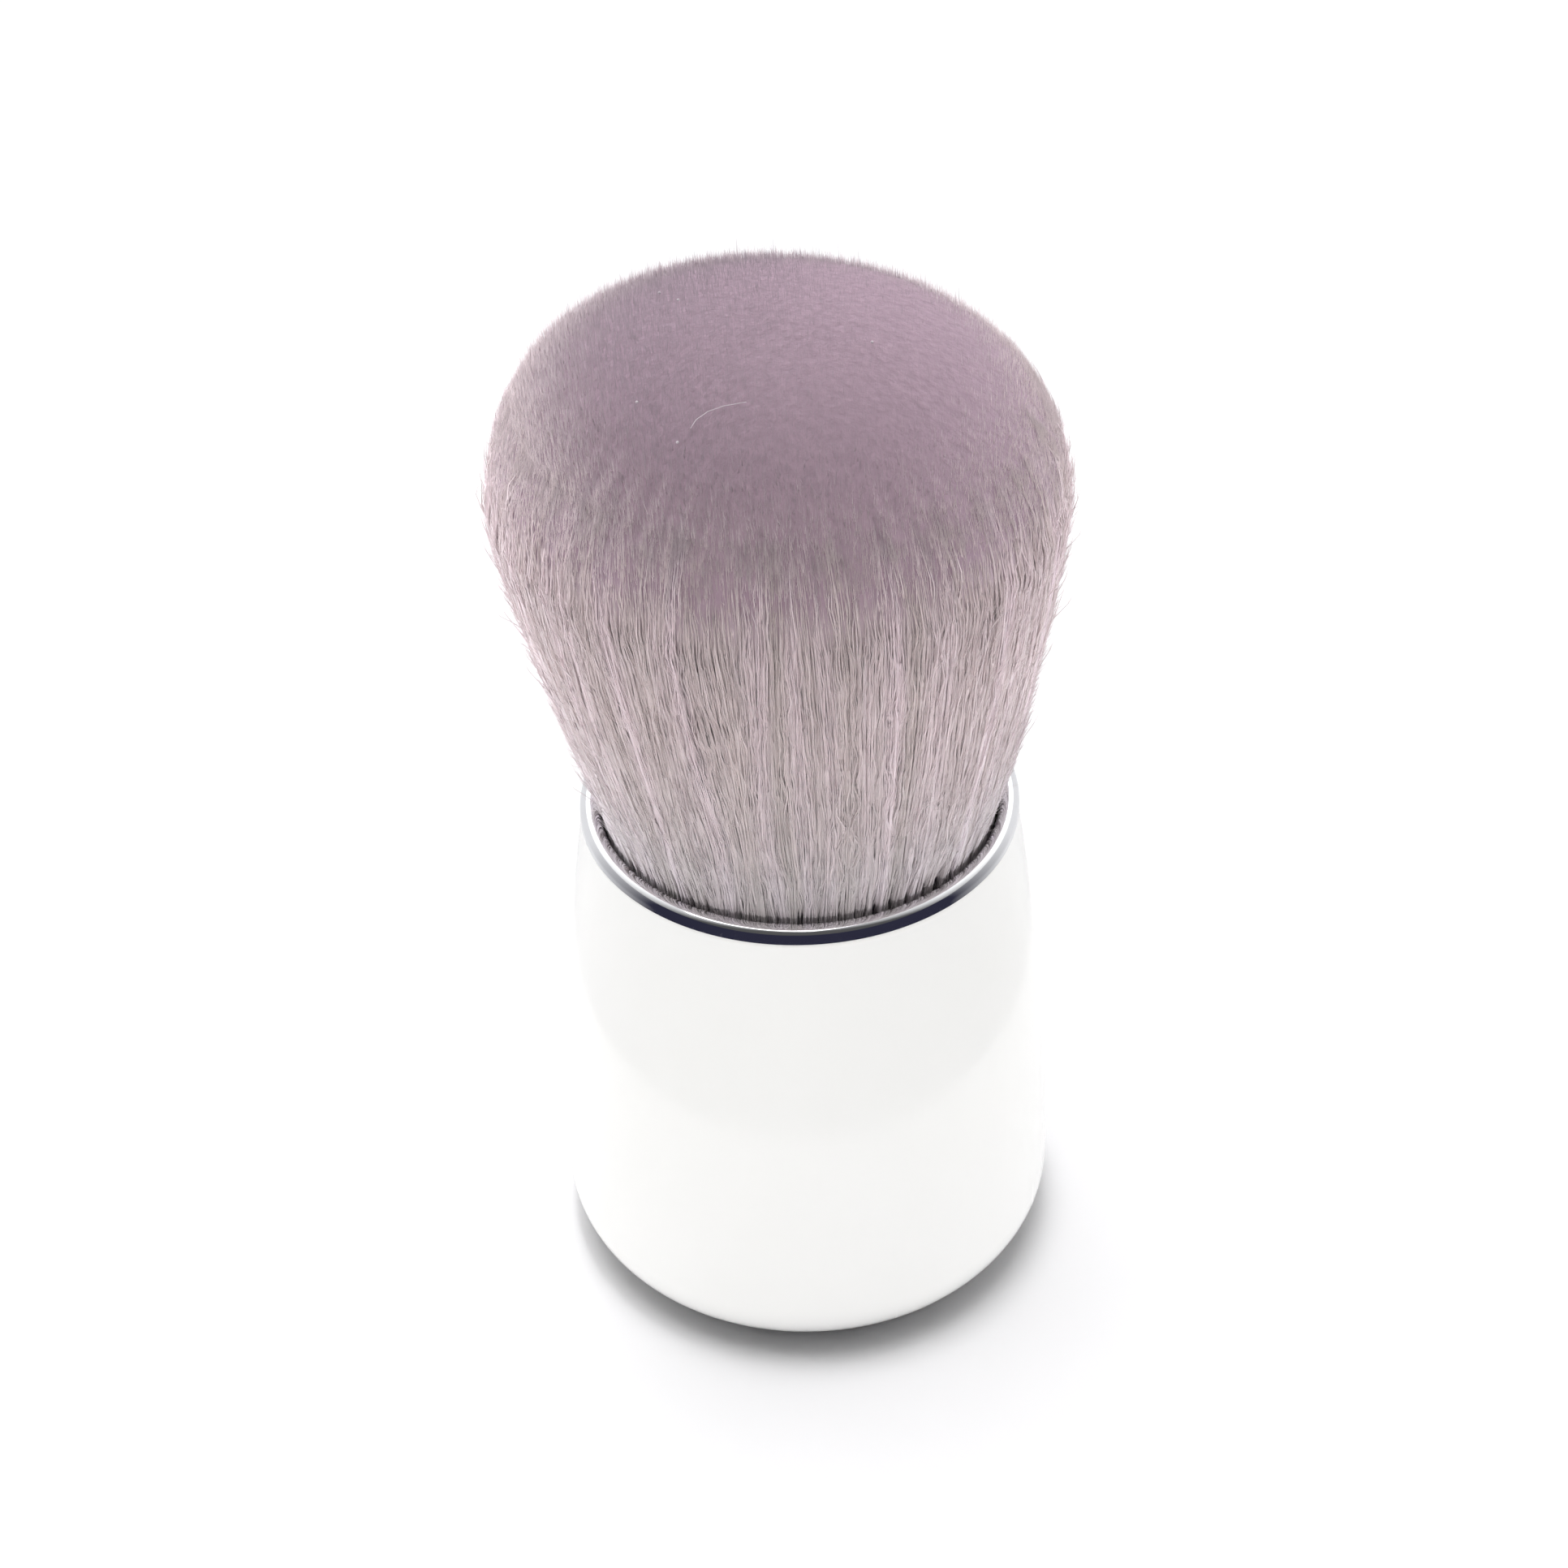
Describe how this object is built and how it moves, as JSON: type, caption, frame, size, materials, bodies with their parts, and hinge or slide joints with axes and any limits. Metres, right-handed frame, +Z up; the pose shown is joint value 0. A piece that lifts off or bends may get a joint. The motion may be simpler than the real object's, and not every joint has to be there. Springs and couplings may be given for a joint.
{
  "type": "nail dust brush",
  "caption": "Palm-held nail dust brush: white barrel handle that stands on its base, metal ferrule with a rolled rim, and a dense domed bundle of soft fibres that flexes and springs back.",
  "frame": {"origin": "centre of the flat base that the brush stands on", "axes": "+Z up along the handle's own axis, from the base towards the domed top; +X to the right and +Y away from the viewer in the picture"},
  "size_m": [0.0401, 0.0402, 0.08],
  "materials": {
    "handle_white": "polished white ABS",
    "weight_steel": "turned mild steel",
    "hot_melt": "milky hot-melt adhesive",
    "ferrule_metal": "bright polished, mirror-like",
    "adhesive": "cured adhesive",
    "resin": "cast amber resin",
    "thread": "waxed cotton thread",
    "fibre": "fine mauve-grey synthetic fibres, matt with a soft sheen"
  },
  "bodies": {
    "handle": {"handle_shell": "handle_white", "weight_slug": "weight_steel", "weight_glue": "hot_melt", "ferrule": "ferrule_metal", "ferrule_bond": "adhesive", "glue_plug": "resin", "binding_thread": "thread", "bristle_root": "fibre"},
    "bristles": {"bristle_head": "fibre"}
  },
  "joints": [
    {"name": "bristle_flex", "type": "hinge", "parent": "handle", "child": "bristles", "pos_m": [0, 0, 0.0473], "axis": [0, 1, 0], "range_deg": [-20, 20], "stiffness_Nm_per_rad": 0.17}
  ]
}
